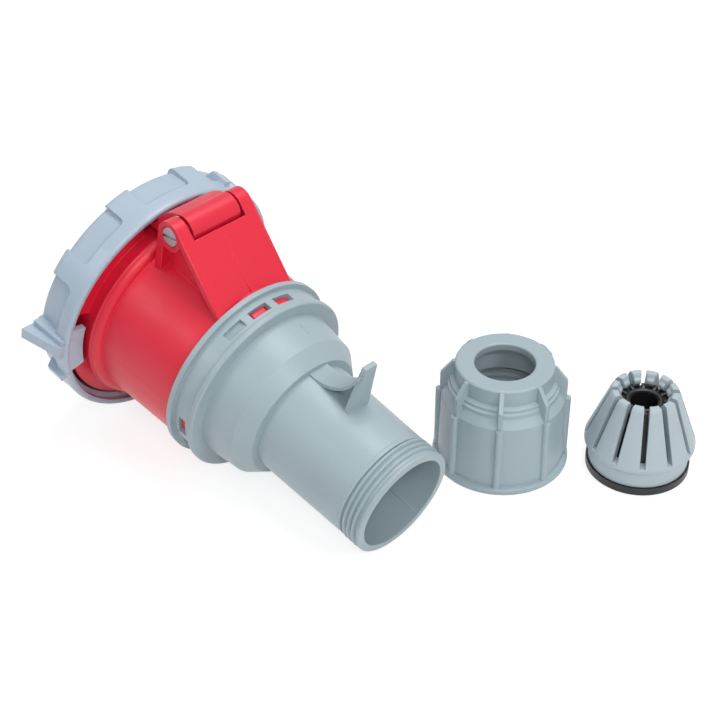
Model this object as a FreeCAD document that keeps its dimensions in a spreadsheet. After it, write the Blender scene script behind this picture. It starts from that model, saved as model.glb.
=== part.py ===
import FreeCAD, Part
import math
import os
import re

import Sketcher

# An industrial coupler socket that lies on its side, with its gland nut, clamp cage and cable seal
# standing loose beside it. Along the body axis, station 0 is the face of the cable neck and the
# stations count up towards the hinged lid. In a body's own frame z is that axis, y points up and
# x points to the side from which the hinge pin was pushed in.

os.makedirs("parts", exist_ok=True)
doc = FreeCAD.newDocument("IndustrialSocket")

# Driving dimensions, all in millimetres or degrees.
SIZES = [
    # Cable neck and rear housing
    ("neck_bore", 23.5, "radius of the bore at the cable end"),
    ("neck_rim", 27.2, "radius of the rim at the cable end"),
    ("rim_edge", 0.5, "chamfer of the rim"),
    ("thread_root", 26.1, "radius under the gland thread"),
    ("thread_end", 13.0, "station where the thread ends"),
    ("neck_foot", 28.2, "radius of the neck where it meets the shoulder"),
    ("shoulder_start", 63.9, "station of the small end of the shoulder"),
    ("shoulder_small", 31.4, "small radius of the shoulder"),
    ("shoulder_stop", 71.3, "station of the large end of the shoulder"),
    ("shoulder_large", 37.3, "large radius of the shoulder"),
    ("drum", 39.4, "radius of the drum behind the rear rib"),
    ("rear_rib_start", 88.4, "station of the rear rib"),
    ("rear_rib", 46.1, "radius of the rear rib"),
    ("band", 44.7, "radius of the band that holds the latch windows"),
    ("band_start", 91.8, "station where the band starts"),
    ("flange_back", 101.4, "station of the back of the front rib"),
    ("flange", 47.2, "radius of the front rib"),
    ("joint_face", 104.0, "station where the two housings meet"),
    ("shell", 2.5, "wall thickness of the rear housing"),
    ("window_low", 93.8, "station where a latch window starts"),
    ("window_high", 98.3, "station where a latch window ends"),
    ("window_arc", 13.6, "angle that a latch window spans"),
    # Catch on the neck
    ("catch_start", 37.0, "station of the catch blade"),
    ("catch_plate", 2.6, "thickness of the catch blade"),
    ("catch_top", 51.0, "height of the catch blade above the axis"),
    ("catch_side", 9.4, "distance of the blade's upright side from the middle"),
    # Front housing
    ("spigot", 42.0, "radius of the spigot inside the rear housing"),
    ("spigot_end", 92.9, "station of the spigot's end"),
    ("body_back", 44.6, "radius of the front housing at the joint"),
    ("body_front", 46.7, "radius of the front housing where it sweeps out to the collar"),
    ("flare_start", 150.2, "station where the sweep to the collar begins"),
    ("collar", 50.4, "radius of the collar"),
    ("collar_start", 154.0, "station of the collar's ridge"),
    ("cam", 56.0, "radius of the bayonet flange"),
    ("cam_start", 160.9, "station of the back of the bayonet flange"),
    ("cam_stop", 166.0, "station of the front of the bayonet flange"),
    ("mouth", 170.0, "station of the mouth"),
    ("well", 41.5, "radius of the well that takes the plug's shroud"),
    ("well_floor", 118.0, "station of the floor of the well"),
    ("floor_sheet", 6.0, "thickness of the floor of the well"),
    ("floor_hole", 30.3, "radius of the hole in the floor"),
    # Hinge
    ("hinge_height", 64.0, "height of the hinge axis above the body axis"),
    ("hinge_station", 139.9, "station of the hinge axis"),
    ("bracket_half", 21.7, "half of the bracket's width"),
    ("ear", 7.4, "radius of the bracket's ears"),
    ("ear_inside", 15.2, "distance from the middle to an ear's inner face"),
    ("plate_foot", 42.4, "height of the sloping plate at the joint"),
    ("plate_sheet", 3.2, "thickness of the sloping plate"),
    ("notch_start", 130.6, "station where the notch for the lid's barrel starts"),
    ("barrel", 7.7, "radius of the lid's hinge barrel"),
    ("barrel_half", 13.8, "half of the barrel's length"),
    ("pin", 2.0, "radius of the hinge pin"),
    ("pin_head", 4.9, "radius of the pin's head"),
    # Lid and bayonet ring
    ("lid_back", 171.0, "station of the lid's sealing face"),
    ("lid_disc", 55.4, "radius of the lid's disc"),
    ("lid_shelf", 176.0, "station of the front of the disc"),
    ("lid_hub", 50.6, "radius of the hub that the ring turns on"),
    ("lid_front", 182.4, "station of the lid's front"),
    ("ring_back", 157.75, "station of the ring's rear lip"),
    ("ring_front", 180.0, "station of the ring's front"),
    ("ring_foot", 62.3, "radius of the rear lip, on which the part lies"),
    ("ring_edge", 1.5, "rounding of the rear lip"),
    ("ring_land", 62.4, "radius of the ring over its grips"),
    ("ring_bore", 57.4, "radius of the ring's bore"),
    ("lip_bore", 59.2, "radius of the bore at the rear lip"),
    ("grip_count", 10, "grips round the ring"),
    ("panel_arc", 24.5, "angle of a panel between two grips"),
    ("panel_corner", 3.0, "radius of a panel's two rear corners"),
    ("tab_tip", 52.0, "radius that the ring's inward tabs reach"),
    ("tab_sheet", 2.75, "thickness of the inward tabs"),
    ("tab_arc", 25.0, "angle that a tab spans"),
    # Contact carrier
    ("carrier", 32.6, "radius of the contact carrier"),
    ("carrier_front", 160.5, "station of the carrier's face"),
    ("carrier_tail", 104.0, "station of the carrier's back"),
    ("tail", 30.2, "radius of the carrier's tail"),
    ("lobe", 14.0, "radius of the tail's lobes, which stop the carrier from turning"),
    ("pitch", 18.0, "radius of the circle of the contacts"),
    ("sleeve", 6.4, "outer radius of a phase sleeve"),
    ("phase_bore", 4.0, "bore radius of a phase sleeve"),
    ("earth_sleeve", 7.4, "outer radius of the earth sleeve"),
    ("earth_bore", 5.0, "bore radius of the earth sleeve"),
    ("wire_room", 0.6, "how much wider a wire hole is than its sleeve's bore"),
    ("sleeve_front", 155.5, "station of the front shoulder of the sleeves"),
    ("nose", 1.2, "wall thickness of a sleeve's nose"),
    ("nose_front", 157.5, "station of the front of the noses"),
    ("plate_back", 100.0, "station of the back of the clamp plate"),
    ("terminal_back", 84.0, "station of the back of the terminals"),
    # Gland nut
    ("nut_height", 53.8, "height of the nut"),
    ("nut_base", 32.2, "radius of the nut's base"),
    ("nut_body", 29.9, "radius of the nut's body at the base"),
    ("nut_neck", 23.1, "radius of the nut's upper drum"),
    ("nut_hole", 14.1, "radius of the cable hole"),
    ("nut_thread", 27.5, "radius of the nut's threaded bore"),
    ("rib_count", 8, "ribs round the nut"),
    # Clamp cage and seal
    ("cage_rim", 25.9, "radius of the cage's rim"),
    ("cage_height", 43.6, "height of the fingers' tips"),
    ("cage_tip", 15.3, "outer radius at the tips"),
    ("finger_count", 12, "fingers of the cage"),
    ("slot_width", 2.6, "width of a slot between two fingers"),
    ("seal_base", 24.4, "radius of the seal's base"),
    ("seal_hole", 6.5, "radius of the cable hole in the seal"),
]

# Places of the loose pieces on the floor, measured from the middle of the neck's face.
NUT_PLACE = (-13.1, 81.8)
CAGE_PLACE = (38.5, 121.6)

sheet = doc.addObject("Spreadsheet::Sheet", "Sizes")
for row, (alias, number, meaning) in enumerate(SIZES, start=1):
    sheet.set("A%d" % row, str(number))
    sheet.setAlias("A%d" % row, alias)
    sheet.set("B%d" % row, meaning)
doc.recompute()

WORD = re.compile(r"[a-z][a-z_]+")
FUNCTIONS = ("sin", "cos", "tan", "sqrt")


def bound(expression):
    def named(found):
        word = found.group()
        return word if word in FUNCTIONS else "Sizes." + word
    return WORD.sub(named, str(expression))


def value(expression):
    return float(sheet.evalExpression(str(expression)))


def tie(feature, field, expression):
    feature.setExpression(field, bound(expression))


def new_body(label):
    body = doc.addObject("PartDesign::Body", label)
    body.Label = label
    return body


def origin_plane(body, role):
    for feature in body.Origin.OriginFeatures:
        if feature.Role == role:
            return feature


# An empty sketch on an origin plane of its body. It is lifted along the plane's normal, and turn is
# the angle about the body axis of a half plane that holds radius and station.
def new_sketch(body, name, plane, lift="0", turn=0):
    sketch = body.newObject("Sketcher::SketchObject", name)
    sketch.AttachmentSupport = [(origin_plane(body, plane), "")]
    sketch.MapMode = "FlatFace"
    spin = FreeCAD.Rotation(FreeCAD.Vector(0, 1, 0), turn)
    sketch.AttachmentOffset = FreeCAD.Placement(FreeCAD.Vector(0, 0, value(lift)), spin)
    if lift != "0":
        tie(sketch, ".AttachmentOffset.Base.z", lift)
    return sketch


def pin_point(sketch, geometry, end, across, along, stem):
    for kind, text, axis in (("DistanceX", across, -2), ("DistanceY", along, -1)):
        if text == "0":
            sketch.addConstraint(Sketcher.Constraint("PointOnObject", geometry, end, axis))
            continue
        index = sketch.addConstraint(
            Sketcher.Constraint(kind, -1, 1, geometry, end, value(text)))
        name = "%s_%s" % (stem, kind[-1].lower())
        sketch.renameConstraint(index, name)
        tie(sketch, "Constraints." + name, text)


# A closed outline. Each point is (across, along), reached by a straight line, or
# (across, along, radius, side), reached by an arc whose centre is on that side of the way.
def outline(sketch, points):
    spots = [FreeCAD.Vector(value(point[0]), value(point[1]), 0) for point in points]
    ends = []
    for index, start in enumerate(spots):
        target = points[(index + 1) % len(points)]
        finish = spots[(index + 1) % len(points)]
        if len(target) == 2:
            geometry = sketch.addGeometry(Part.LineSegment(start, finish), False)
            ends.append((geometry, 1, 2))
            continue
        radius = value(target[2])
        chord = finish - start
        normal = FreeCAD.Vector(-chord.y, chord.x, 0).normalize()
        side = 1 if target[3] == "left" else -1
        reach = math.sqrt(max(radius ** 2 - (chord.Length / 2) ** 2, 0))
        centre = start + chord * 0.5 + normal * (side * reach)
        from_angle = math.atan2(start.y - centre.y, start.x - centre.x)
        to_angle = math.atan2(finish.y - centre.y, finish.x - centre.x)
        if side < 0:
            from_angle, to_angle = to_angle, from_angle
        circle = Part.Circle(centre, FreeCAD.Vector(0, 0, 1), radius)
        geometry = sketch.addGeometry(Part.ArcOfCircle(circle, from_angle, to_angle), False)
        ends.append((geometry, 1, 2) if side > 0 else (geometry, 2, 1))
        rounding = sketch.addConstraint(Sketcher.Constraint("Radius", geometry, radius))
        sketch.renameConstraint(rounding, "round_%d" % geometry)
        tie(sketch, "Constraints.round_%d" % geometry, target[2])
    for index, (geometry, first, last) in enumerate(ends):
        follower, follower_first, _ = ends[(index + 1) % len(ends)]
        sketch.addConstraint(
            Sketcher.Constraint("Coincident", geometry, last, follower, follower_first))
        pin_point(sketch, geometry, first, points[index][0], points[index][1], "p%d" % index)
    return sketch


def circle(sketch, across, along, radius):
    centre = FreeCAD.Vector(value(across), value(along), 0)
    shape = Part.Circle(centre, FreeCAD.Vector(0, 0, 1), value(radius))
    geometry = sketch.addGeometry(shape, False)
    pin_point(sketch, geometry, 3, across, along, "c%d" % geometry)
    index = sketch.addConstraint(Sketcher.Constraint("Radius", geometry, value(radius)))
    sketch.renameConstraint(index, "r%d" % geometry)
    tie(sketch, "Constraints.r%d" % geometry, radius)
    return sketch


def solid_volume(body):
    return 0.0 if body.Shape.isNull() else body.Shape.Volume


def settle(body, before, cutting):
    doc.recompute()
    change = body.Shape.Volume - before
    if (cutting and change > -1e-6) or (not cutting and change < 1e-6):
        raise RuntimeError("%s: the last feature of the body changes nothing" % body.Label)


# A full or partial turn about the body axis. Half of a partial turn lies on each side of its sketch.
def turned(body, name, sketch, angle="360", cut=False):
    before = solid_volume(body)
    kind = "PartDesign::Groove" if cut else "PartDesign::Revolution"
    feature = body.newObject(kind, name)
    feature.Profile = sketch
    feature.ReferenceAxis = (sketch, ["V_Axis"])
    if angle != "360":
        feature.Midplane = True
    feature.Angle = value(angle)
    tie(feature, "Angle", angle)
    settle(body, before, cut)
    return feature


# A straight pad or pocket. Both ways makes it symmetric about its sketch.
def pushed(body, name, sketch, length, cut=False, both=False, back=False):
    before = solid_volume(body)
    feature = body.newObject("PartDesign::Pocket" if cut else "PartDesign::Pad", name)
    feature.Profile = sketch
    feature.SideType = "Symmetric" if both else "One side"
    feature.Reversed = back
    feature.Length = value(length)
    tie(feature, "Length", length)
    settle(body, before, cut)
    return feature


def repeated(body, name, features, sketch, count, cut=False, axis="V_Axis"):
    before = body.Shape.Volume
    pattern = body.newObject("PartDesign::PolarPattern", name)
    pattern.Originals = features
    pattern.Axis = (sketch, [axis])
    pattern.Angle = 360
    pattern.Occurrences = int(value(count))
    tie(pattern, "Occurrences", count)
    body.Tip = pattern
    settle(body, before, cut)
    return pattern


# Rear housing: neck, shoulder, drum and the band with latch windows, moulded in one.
def rear_housing():
    body = new_body("rear_housing")
    wall = new_sketch(body, "WallOutline", "XZ_Plane")
    outline(wall, [
        ("neck_bore", "0"),
        ("neck_rim - rim_edge", "0"),
        ("neck_rim", "rim_edge"),
        ("neck_rim", "1.6"),
        ("thread_root", "2.2"),
        ("thread_root", "thread_end"),
        ("neck_rim", "thread_end + 0.7"),
        ("neck_foot", "shoulder_start"),
        ("shoulder_small", "shoulder_start"),
        ("shoulder_large", "shoulder_stop"),
        ("drum", "rear_rib_start"),
        ("rear_rib - 0.7", "rear_rib_start"),
        ("rear_rib", "rear_rib_start + 0.7"),
        ("rear_rib", "band_start - 0.8"),
        ("band", "band_start"),
        ("band", "flange_back"),
        ("flange", "flange_back"),
        ("flange", "joint_face"),
        ("spigot + 0.1", "joint_face"),
        ("spigot + 0.1", "spigot_end - 2.4"),
        ("drum - shell", "spigot_end - 2.4"),
        ("shoulder_large - shell", "shoulder_stop + 1"),
        ("neck_bore", "shoulder_start + 1.5"),
    ])
    turned(body, "Wall", wall)
    # The latch windows come in threes. The first of each three is blind, with a floor that slopes.
    for group, middle in enumerate((84, 204, 333)):
        for place, step in enumerate((-19, 0, 19)):
            blind = place == 0
            name = "Window%d%d" % (group, place)
            window = new_sketch(body, name + "Outline", "XZ_Plane", turn=middle + step)
            floor = ("band - 0.5", "band - 1.9") if blind else ("spigot - 1", "spigot - 1")
            outline(window, [
                (floor[0], "window_low"),
                ("flange + 1", "window_low"),
                ("flange + 1", "window_high"),
                (floor[1], "window_high"),
            ])
            turned(body, name, window, angle="window_arc", cut=True)
    catch(body)
    return body


# The catch on the neck: an upright blade, a curved ramp up to it and a web below the ramp.
def catch(body):
    blade = new_sketch(body, "BladeOutline", "XY_Plane", lift="catch_start")
    outline(blade, [
        ("-catch_side", "25.2"),
        ("4.2", "25.2"),
        ("-2.8", "catch_top"),
        ("-catch_side", "catch_top"),
    ])
    pushed(body, "Blade", blade, "catch_plate")
    ramp = new_sketch(body, "RampOutline", "YZ_Plane", lift="-catch_side")
    outline(ramp, [
        ("27.0", "shoulder_start + 0.3"),
        ("29.0", "shoulder_start + 0.3"),
        ("catch_top - 3.4", "catch_start + 1", "26", "left"),
        ("catch_top - 6.2", "catch_start + 1"),
        ("27.0", "shoulder_start - 3.5", "27.6", "right"),
    ])
    pushed(body, "Ramp", ramp, "catch_side + 1.6")
    web = new_sketch(body, "WebOutline", "YZ_Plane", lift="-5.2")
    outline(web, [
        ("25.6", "catch_start + 1"),
        ("25.6", "shoulder_start - 3"),
        ("27.6", "shoulder_start - 3"),
        ("catch_top - 5.8", "catch_start + 1", "27.2", "left"),
    ])
    pushed(body, "Web", web, "1.8")


# Front housing: the red shell with its hinge bracket, bayonet flange and the well for the shroud.
def front_housing():
    body = new_body("front_housing")
    hinge_bracket(body)
    wall = new_sketch(body, "WallOutline", "XZ_Plane")
    outline(wall, [
        ("0", "spigot_end"),
        ("spigot - 0.6", "spigot_end"),
        ("spigot", "spigot_end + 0.6"),
        ("spigot", "joint_face"),
        ("body_back", "joint_face"),
        ("body_front", "flare_start"),
        ("collar + 0.1", "collar_start", "4", "left"),
        ("collar + 0.5", "collar_start + 0.4"),
        ("collar + 0.5", "collar_start + 1.2"),
        ("collar - 0.7", "collar_start + 1.6"),
        ("collar - 0.7", "cam_start"),
        ("cam", "cam_start"),
        ("cam", "cam_stop"),
        ("collar - 0.7", "cam_stop"),
        ("collar - 0.7", "mouth - 0.6"),
        ("collar - 1.3", "mouth"),
        ("0", "mouth"),
    ])
    turned(body, "Shell", wall)
    well = new_sketch(body, "WellOutline", "XZ_Plane")
    outline(well, [
        ("0", "mouth + 1"),
        ("well + 1.2", "mouth + 1"),
        ("well + 0.4", "mouth - 0.2"),
        ("well", "mouth - 2"),
        ("well", "well_floor"),
        ("floor_hole", "well_floor"),
        ("floor_hole", "well_floor - floor_sheet"),
        ("spigot - 3.4", "well_floor - floor_sheet"),
        ("spigot - 3.4", "spigot_end - 1"),
        ("0", "spigot_end - 1"),
    ])
    turned(body, "Well", well, cut=True)
    # Five notches in the floor's edge take the lobes of the carrier's tail.
    for name, angle in CONTACTS:
        notch = new_sketch(body, name + "NotchOutline", "XY_Plane", lift="well_floor - floor_sheet - 1")
        circle(notch, "pitch * cos(%d)" % angle, "pitch * sin(%d)" % angle, "lobe")
        pushed(body, name + "Notch", notch, "floor_sheet + 2", cut=True, back=True)
    # Gaps let the ring's tabs through at both sides, and the lid's arm at the top.
    for place, (middle, arc) in enumerate(((1, "34"), (181, "34"), (90, "38"))):
        gap = new_sketch(body, "Gap%dOutline" % place, "XZ_Plane", turn=middle)
        outline(gap, [
            ("collar - 0.7", "cam_start - 0.1"),
            ("cam + 1", "cam_start - 0.1"),
            ("cam + 1", "cam_stop + 0.1"),
            ("collar - 0.7", "cam_stop + 0.1"),
        ])
        turned(body, "Gap%d" % place, gap, angle=arc, cut=True)
    # A stop behind the flange ends the ring's turn on each side.
    for place, middle in enumerate((-63, 117)):
        stop = new_sketch(body, "Stop%dOutline" % place, "XZ_Plane", turn=middle)
        outline(stop, [
            ("collar - 1.5", "ring_back"),
            ("cam - 1", "ring_back"),
            ("cam", "cam_start + 0.5"),
            ("collar - 1.5", "cam_start + 0.5"),
        ])
        turned(body, "Stop%d" % place, stop, angle="4")
    keyway = new_sketch(body, "KeywayOutline", "XZ_Plane", turn=-90)
    outline(keyway, [
        ("well - 1", "well_floor + 3"),
        ("well + 1.8", "well_floor + 3"),
        ("well + 1.8", "mouth + 1"),
        ("well - 1", "mouth + 1"),
    ])
    pushed(body, "Keyway", keyway, "9", cut=True, both=True)
    # Latch teeth fill the open windows of the rear housing.
    for group, middle in enumerate((84, 204, 333)):
        for place, step in enumerate((0, 19)):
            name = "Tooth%d%d" % (group, place)
            tooth = new_sketch(body, name + "Outline", "XZ_Plane", turn=middle + step)
            outline(tooth, [
                ("spigot - 1", "window_low + 0.3"),
                ("spigot + 0.3", "window_low + 0.3"),
                ("spigot + 1.0", "window_high - 1.8"),
                ("spigot + 1.0", "window_high - 0.4"),
                ("spigot - 1", "window_high - 0.4"),
            ])
            turned(body, name, tooth, angle="window_arc - 4")
    return body


# The bracket is a wedge with a sloping plate on top. Its sides are hollowed below the plate, and a
# notch between the two ears takes the lid's barrel.
def hinge_bracket(body):
    rise = math.atan2(value("hinge_height - plate_foot"), value("hinge_station - joint_face"))
    run = math.hypot(value("hinge_height - plate_foot"), value("hinge_station - joint_face"))
    slope = rise + math.asin(value("ear") / run)
    top_height = value("hinge_height") + value("ear") * math.cos(slope)
    top_station = value("hinge_station") - value("ear") * math.sin(slope)
    wedge = new_sketch(body, "WedgeOutline", "YZ_Plane")
    outline(wedge, [
        ("36", "joint_face"),
        ("plate_foot", "joint_face"),
        (str(top_height), str(top_station)),
        ("hinge_height", "hinge_station + ear", "ear", "right"),
        ("46", "hinge_station + ear"),
        ("36", "hinge_station + ear"),
    ])
    pushed(body, "Wedge", wedge, "2 * bracket_half", both=True)
    # The hollow on each side has a curved wall and ends at the post below the ear.
    for side in (1, -1):
        hollow = new_sketch(body, "Hollow%dOutline" % (side + 2), "YZ_Plane",
                            lift="%d * bracket_half" % side)
        depth = value("plate_sheet")
        inner_height = top_height - depth * math.cos(slope)
        inner_station = top_station + depth * math.sin(slope)
        foot_height = value("plate_foot") - depth / math.cos(slope)
        outline(hollow, [
            ("34", "joint_face + 2.5"),
            (str(foot_height), "joint_face + 0.2"),
            (str(inner_height), str(inner_station)),
            ("62", "hinge_station + ear - 4"),
            ("34", "hinge_station + ear - 4"),
        ])
        pushed(body, "Hollow%d" % (side + 2), hollow, "5.2", cut=True, back=side < 0)
    for side in (1, -1):
        ear = new_sketch(body, "Ear%dOutline" % (side + 2), "YZ_Plane",
                         lift="%d * ear_inside" % side)
        circle(ear, "hinge_height", "hinge_station", "ear")
        pushed(body, "Ear%d" % (side + 2), ear, "bracket_half - ear_inside", back=side < 0)
    notch = new_sketch(body, "NotchOutline", "YZ_Plane")
    outline(notch, [
        ("34", "notch_start"),
        ("hinge_height + ear + 2", "notch_start"),
        ("hinge_height + ear + 2", "hinge_station + ear + 2"),
        ("34", "hinge_station + ear + 2"),
    ])
    pushed(body, "Notch", notch, "2 * ear_inside", cut=True, both=True)
    bore = new_sketch(body, "PinBoreOutline", "YZ_Plane", lift="-bracket_half + 1.6")
    circle(bore, "hinge_height", "hinge_station", "pin + 0.02")
    pushed(body, "PinBore", bore, "2 * bracket_half + 2", cut=True, back=True)
    seat = new_sketch(body, "PinSeatOutline", "YZ_Plane", lift="bracket_half - 2.6")
    circle(seat, "hinge_height", "hinge_station", "pin_head + 0.1")
    pushed(body, "PinSeat", seat, "4", cut=True, back=True)


# A plain ring seal between the end of the spigot and the step inside the rear housing.
def housing_oring():
    body = new_body("housing_oring")
    section = new_sketch(body, "SectionOutline", "XZ_Plane")
    circle(section, "spigot - 1.7", "spigot_end - 1.2", "1.2")
    turned(body, "Seal", section)
    return body


# Lid: a disc with a hub for the ring, and an arm that ends in the hinge barrel.
def lid():
    body = new_body("lid")
    disc = new_sketch(body, "DiscOutline", "XZ_Plane")
    outline(disc, [
        ("0", "lid_back + 2.4"),
        ("36", "lid_back + 2.4"),
        ("37.5", "lid_back"),
        ("43.4", "lid_back"),
        ("43.4", "lid_back + 1.8"),
        ("48.4", "lid_back + 1.8"),
        ("48.4", "lid_back"),
        ("lid_disc - 0.6", "lid_back"),
        ("lid_disc", "lid_back + 0.6"),
        ("lid_disc", "lid_shelf"),
        ("lid_hub", "lid_shelf"),
        ("lid_hub", "ring_front + 0.4"),
        ("lid_hub + 1.4", "ring_front + 0.7"),
        ("lid_hub + 1.4", "ring_front + 1.3"),
        ("lid_hub - 0.8", "lid_front"),
        ("43", "lid_front"),
        ("41.6", "lid_front - 1.4"),
        ("33.0", "lid_front - 1.4"),
        ("32.4", "lid_front - 0.8"),
        ("30.6", "lid_front - 0.8"),
        ("30.0", "lid_front - 1.4"),
        ("4.0", "lid_front - 1.4"),
        ("3.4", "lid_front - 1.9"),
        ("0", "lid_front - 1.9"),
    ])
    turned(body, "Disc", disc)
    arm = new_sketch(body, "ArmOutline", "YZ_Plane")
    outline(arm, [
        ("51.6", "lid_back + 2.5"),
        ("51.6", "collar_start + 3"),
        ("hinge_height - barrel + 0.6", "hinge_station - 3"),
        ("hinge_height", "hinge_station"),
        ("hinge_height + 6.0", "hinge_station + 4.8"),
        ("55.0", "collar_start + 4", "22", "left"),
        ("55.0", "lid_back + 2.5"),
    ])
    pushed(body, "Arm", arm, "2 * barrel_half - 0.6", both=True)
    barrel = new_sketch(body, "BarrelOutline", "YZ_Plane")
    circle(barrel, "hinge_height", "hinge_station", "barrel")
    pushed(body, "Barrel", barrel, "2 * barrel_half", both=True)
    bore = new_sketch(body, "BoreOutline", "YZ_Plane")
    circle(bore, "hinge_height", "hinge_station", "pin + 0.06")
    pushed(body, "Bore", bore, "2 * barrel_half + 2", cut=True, both=True)
    # The spring's coils lie in a pocket of the barrel that opens towards the pin's head.
    pocket = new_sketch(body, "SpringPocketOutline", "YZ_Plane", lift="-1")
    circle(pocket, "hinge_height", "hinge_station", "barrel - 2.2")
    pushed(body, "SpringPocket", pocket, "barrel_half + 2", cut=True, back=True)
    return body


def lid_gasket():
    body = new_body("lid_gasket")
    section = new_sketch(body, "SectionOutline", "XZ_Plane")
    outline(section, [
        ("43.5", "lid_back + 1.75"),
        ("43.5", "lid_back - 0.3"),
        ("44.2", "mouth + 0.15"),
        ("47.6", "mouth + 0.15"),
        ("48.3", "lid_back - 0.3"),
        ("48.3", "lid_back + 1.75"),
    ])
    turned(body, "Gasket", section)
    return body


# Bayonet ring: a band with recessed panels between its grips, a wing on each side and two inward
# tabs at the rear lip.
def bayonet_ring():
    body = new_body("bayonet_ring")
    band = new_sketch(body, "BandOutline", "XZ_Plane")
    outline(band, [
        ("lip_bore", "ring_back"),
        ("ring_foot - ring_edge", "ring_back"),
        ("ring_foot", "ring_back + ring_edge", "ring_edge", "left"),
        ("ring_land", "ring_back + 3.2"),
        ("ring_land", "ring_front - 3"),
        ("ring_land - 3", "ring_front", "3", "left"),
        ("lid_hub + 0.4", "ring_front"),
        ("lid_hub + 0.4", "lid_shelf + 0.3"),
        ("ring_bore", "lid_shelf + 0.3"),
        ("ring_bore", "ring_back + 4.2"),
        ("lip_bore", "ring_back + 2.4"),
    ])
    turned(body, "Band", band)
    panel = new_sketch(body, "PanelOutline", "XZ_Plane", turn=17.5)
    outline(panel, [
        ("ring_land - 1.6", "ring_back + 7.2"),
        ("ring_land + 2", "ring_back + 7.2"),
        ("ring_land + 2", "ring_front + 1"),
        ("ring_land - 6.4", "ring_front + 1"),
        ("ring_land - 5.0", "ring_front"),
        ("ring_land - 2.4", "ring_front - 3.2", "3.6", "right"),
    ])
    groove = turned(body, "Panel", panel, angle="panel_arc", cut=True)
    panels = repeated(body, "Panels", [groove], panel, "grip_count", cut=True)
    corners = []
    for index, edge in enumerate(panels.Shape.Edges, start=1):
        at_back = abs(edge.CenterOfMass.z - value("ring_back + 7.2")) < 0.01
        if at_back and edge.Length < 2.2 and not isinstance(edge.Curve, Part.Circle):
            corners.append("Edge%d" % index)
    rounding = body.newObject("PartDesign::Fillet", "PanelCorners")
    rounding.Base = (panels, corners)
    tie(rounding, "Radius", "panel_corner")
    for place, middle in enumerate((1.5, 181.5)):
        wing = new_sketch(body, "Wing%dOutline" % place, "XZ_Plane", turn=middle)
        outline(wing, [
            ("ring_bore + 2", "ring_back + 0.9"),
            ("ring_foot + 3.0", "ring_back + 0.9"),
            ("ring_foot + 8.6", "ring_front - 1.2"),
            ("ring_bore + 2", "ring_front - 1.2"),
        ])
        pushed(body, "Wing%d" % place, wing, "5.6", both=True)
        step = new_sketch(body, "WingStep%dOutline" % place, "XZ_Plane", turn=middle)
        outline(step, [
            ("ring_bore + 2", "ring_back + 1.6"),
            ("ring_foot + 1.4", "ring_back + 1.6"),
            ("ring_foot + 2.6", "ring_front - 2"),
            ("ring_bore + 2", "ring_front - 2"),
        ])
        pushed(body, "WingStep%d" % place, step, "11", both=True)
    for place, middle in enumerate((-17, 120)):
        mark = new_sketch(body, "Mark%dOutline" % place, "XZ_Plane", turn=middle)
        outline(mark, [
            ("ring_bore + 2", "ring_back + 2.4"),
            ("ring_foot + 2.4", "ring_back + 2.4"),
            ("ring_foot + 2.4", "ring_back + 12"),
            ("ring_bore + 2", "ring_back + 15"),
        ])
        pushed(body, "Mark%d" % place, mark, "3.2", both=True)
    for place, middle in enumerate((-0.5, 179.5)):
        tab = new_sketch(body, "Tab%dOutline" % place, "XZ_Plane", turn=middle)
        outline(tab, [
            ("tab_tip", "ring_back"),
            ("lip_bore + 1", "ring_back"),
            ("lip_bore + 1", "ring_back + tab_sheet"),
            ("tab_tip", "ring_back + tab_sheet"),
        ])
        turned(body, "Tab%d" % place, tab, angle="tab_arc")
    return body


# Pin with a slotted head. Its own z runs from the blind end to the head.
def hinge_pin():
    body = new_body("hinge_pin")
    profile = new_sketch(body, "ProfileOutline", "XZ_Plane")
    outline(profile, [
        ("0", "-bracket_half + 2"),
        ("pin - 0.5", "-bracket_half + 2"),
        ("pin", "-bracket_half + 2.5"),
        ("pin", "bracket_half - 2.55"),
        ("pin_head", "bracket_half - 2.55"),
        ("pin_head", "bracket_half - 0.7"),
        ("pin_head - 0.4", "bracket_half - 0.3"),
        ("0", "bracket_half - 0.3"),
    ])
    turned(body, "Profile", profile)
    slot = new_sketch(body, "SlotOutline", "XY_Plane", lift="bracket_half - 1.4")
    outline(slot, [
        ("-pin_head - 1", "-0.65"),
        ("pin_head + 1", "-0.65"),
        ("pin_head + 1", "0.65"),
        ("-pin_head - 1", "0.65"),
    ])
    pushed(body, "Slot", slot, "3", cut=True, back=True)
    return body


# Torsion spring round the pin, in the pin's frame: a helix of wire with two straight legs.
def lid_spring():
    wire = 0.6
    coil = value("barrel") - 3.4
    turns = 5
    lead = 2.4
    start = 1.6
    helix = Part.makeHelix(lead, lead * turns, coil)
    helix.translate(FreeCAD.Vector(0, 0, start))
    first = FreeCAD.Vector(coil, 0, start)
    last = FreeCAD.Vector(coil, 0, start + lead * turns)
    section = Part.Wire(Part.makeCircle(wire, first, FreeCAD.Vector(0, 1, lead / (2 * math.pi * coil))))
    coils = Part.Wire(helix.Edges).makePipeShell([section], True, True)
    leg = Part.makeCylinder(wire, 0.9, last, FreeCAD.Vector(0, 0.2, 1))
    feature = doc.addObject("Part::Feature", "lid_spring")
    feature.Label = "lid_spring"
    feature.Shape = coils.fuse(leg).removeSplitter()
    return feature


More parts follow.
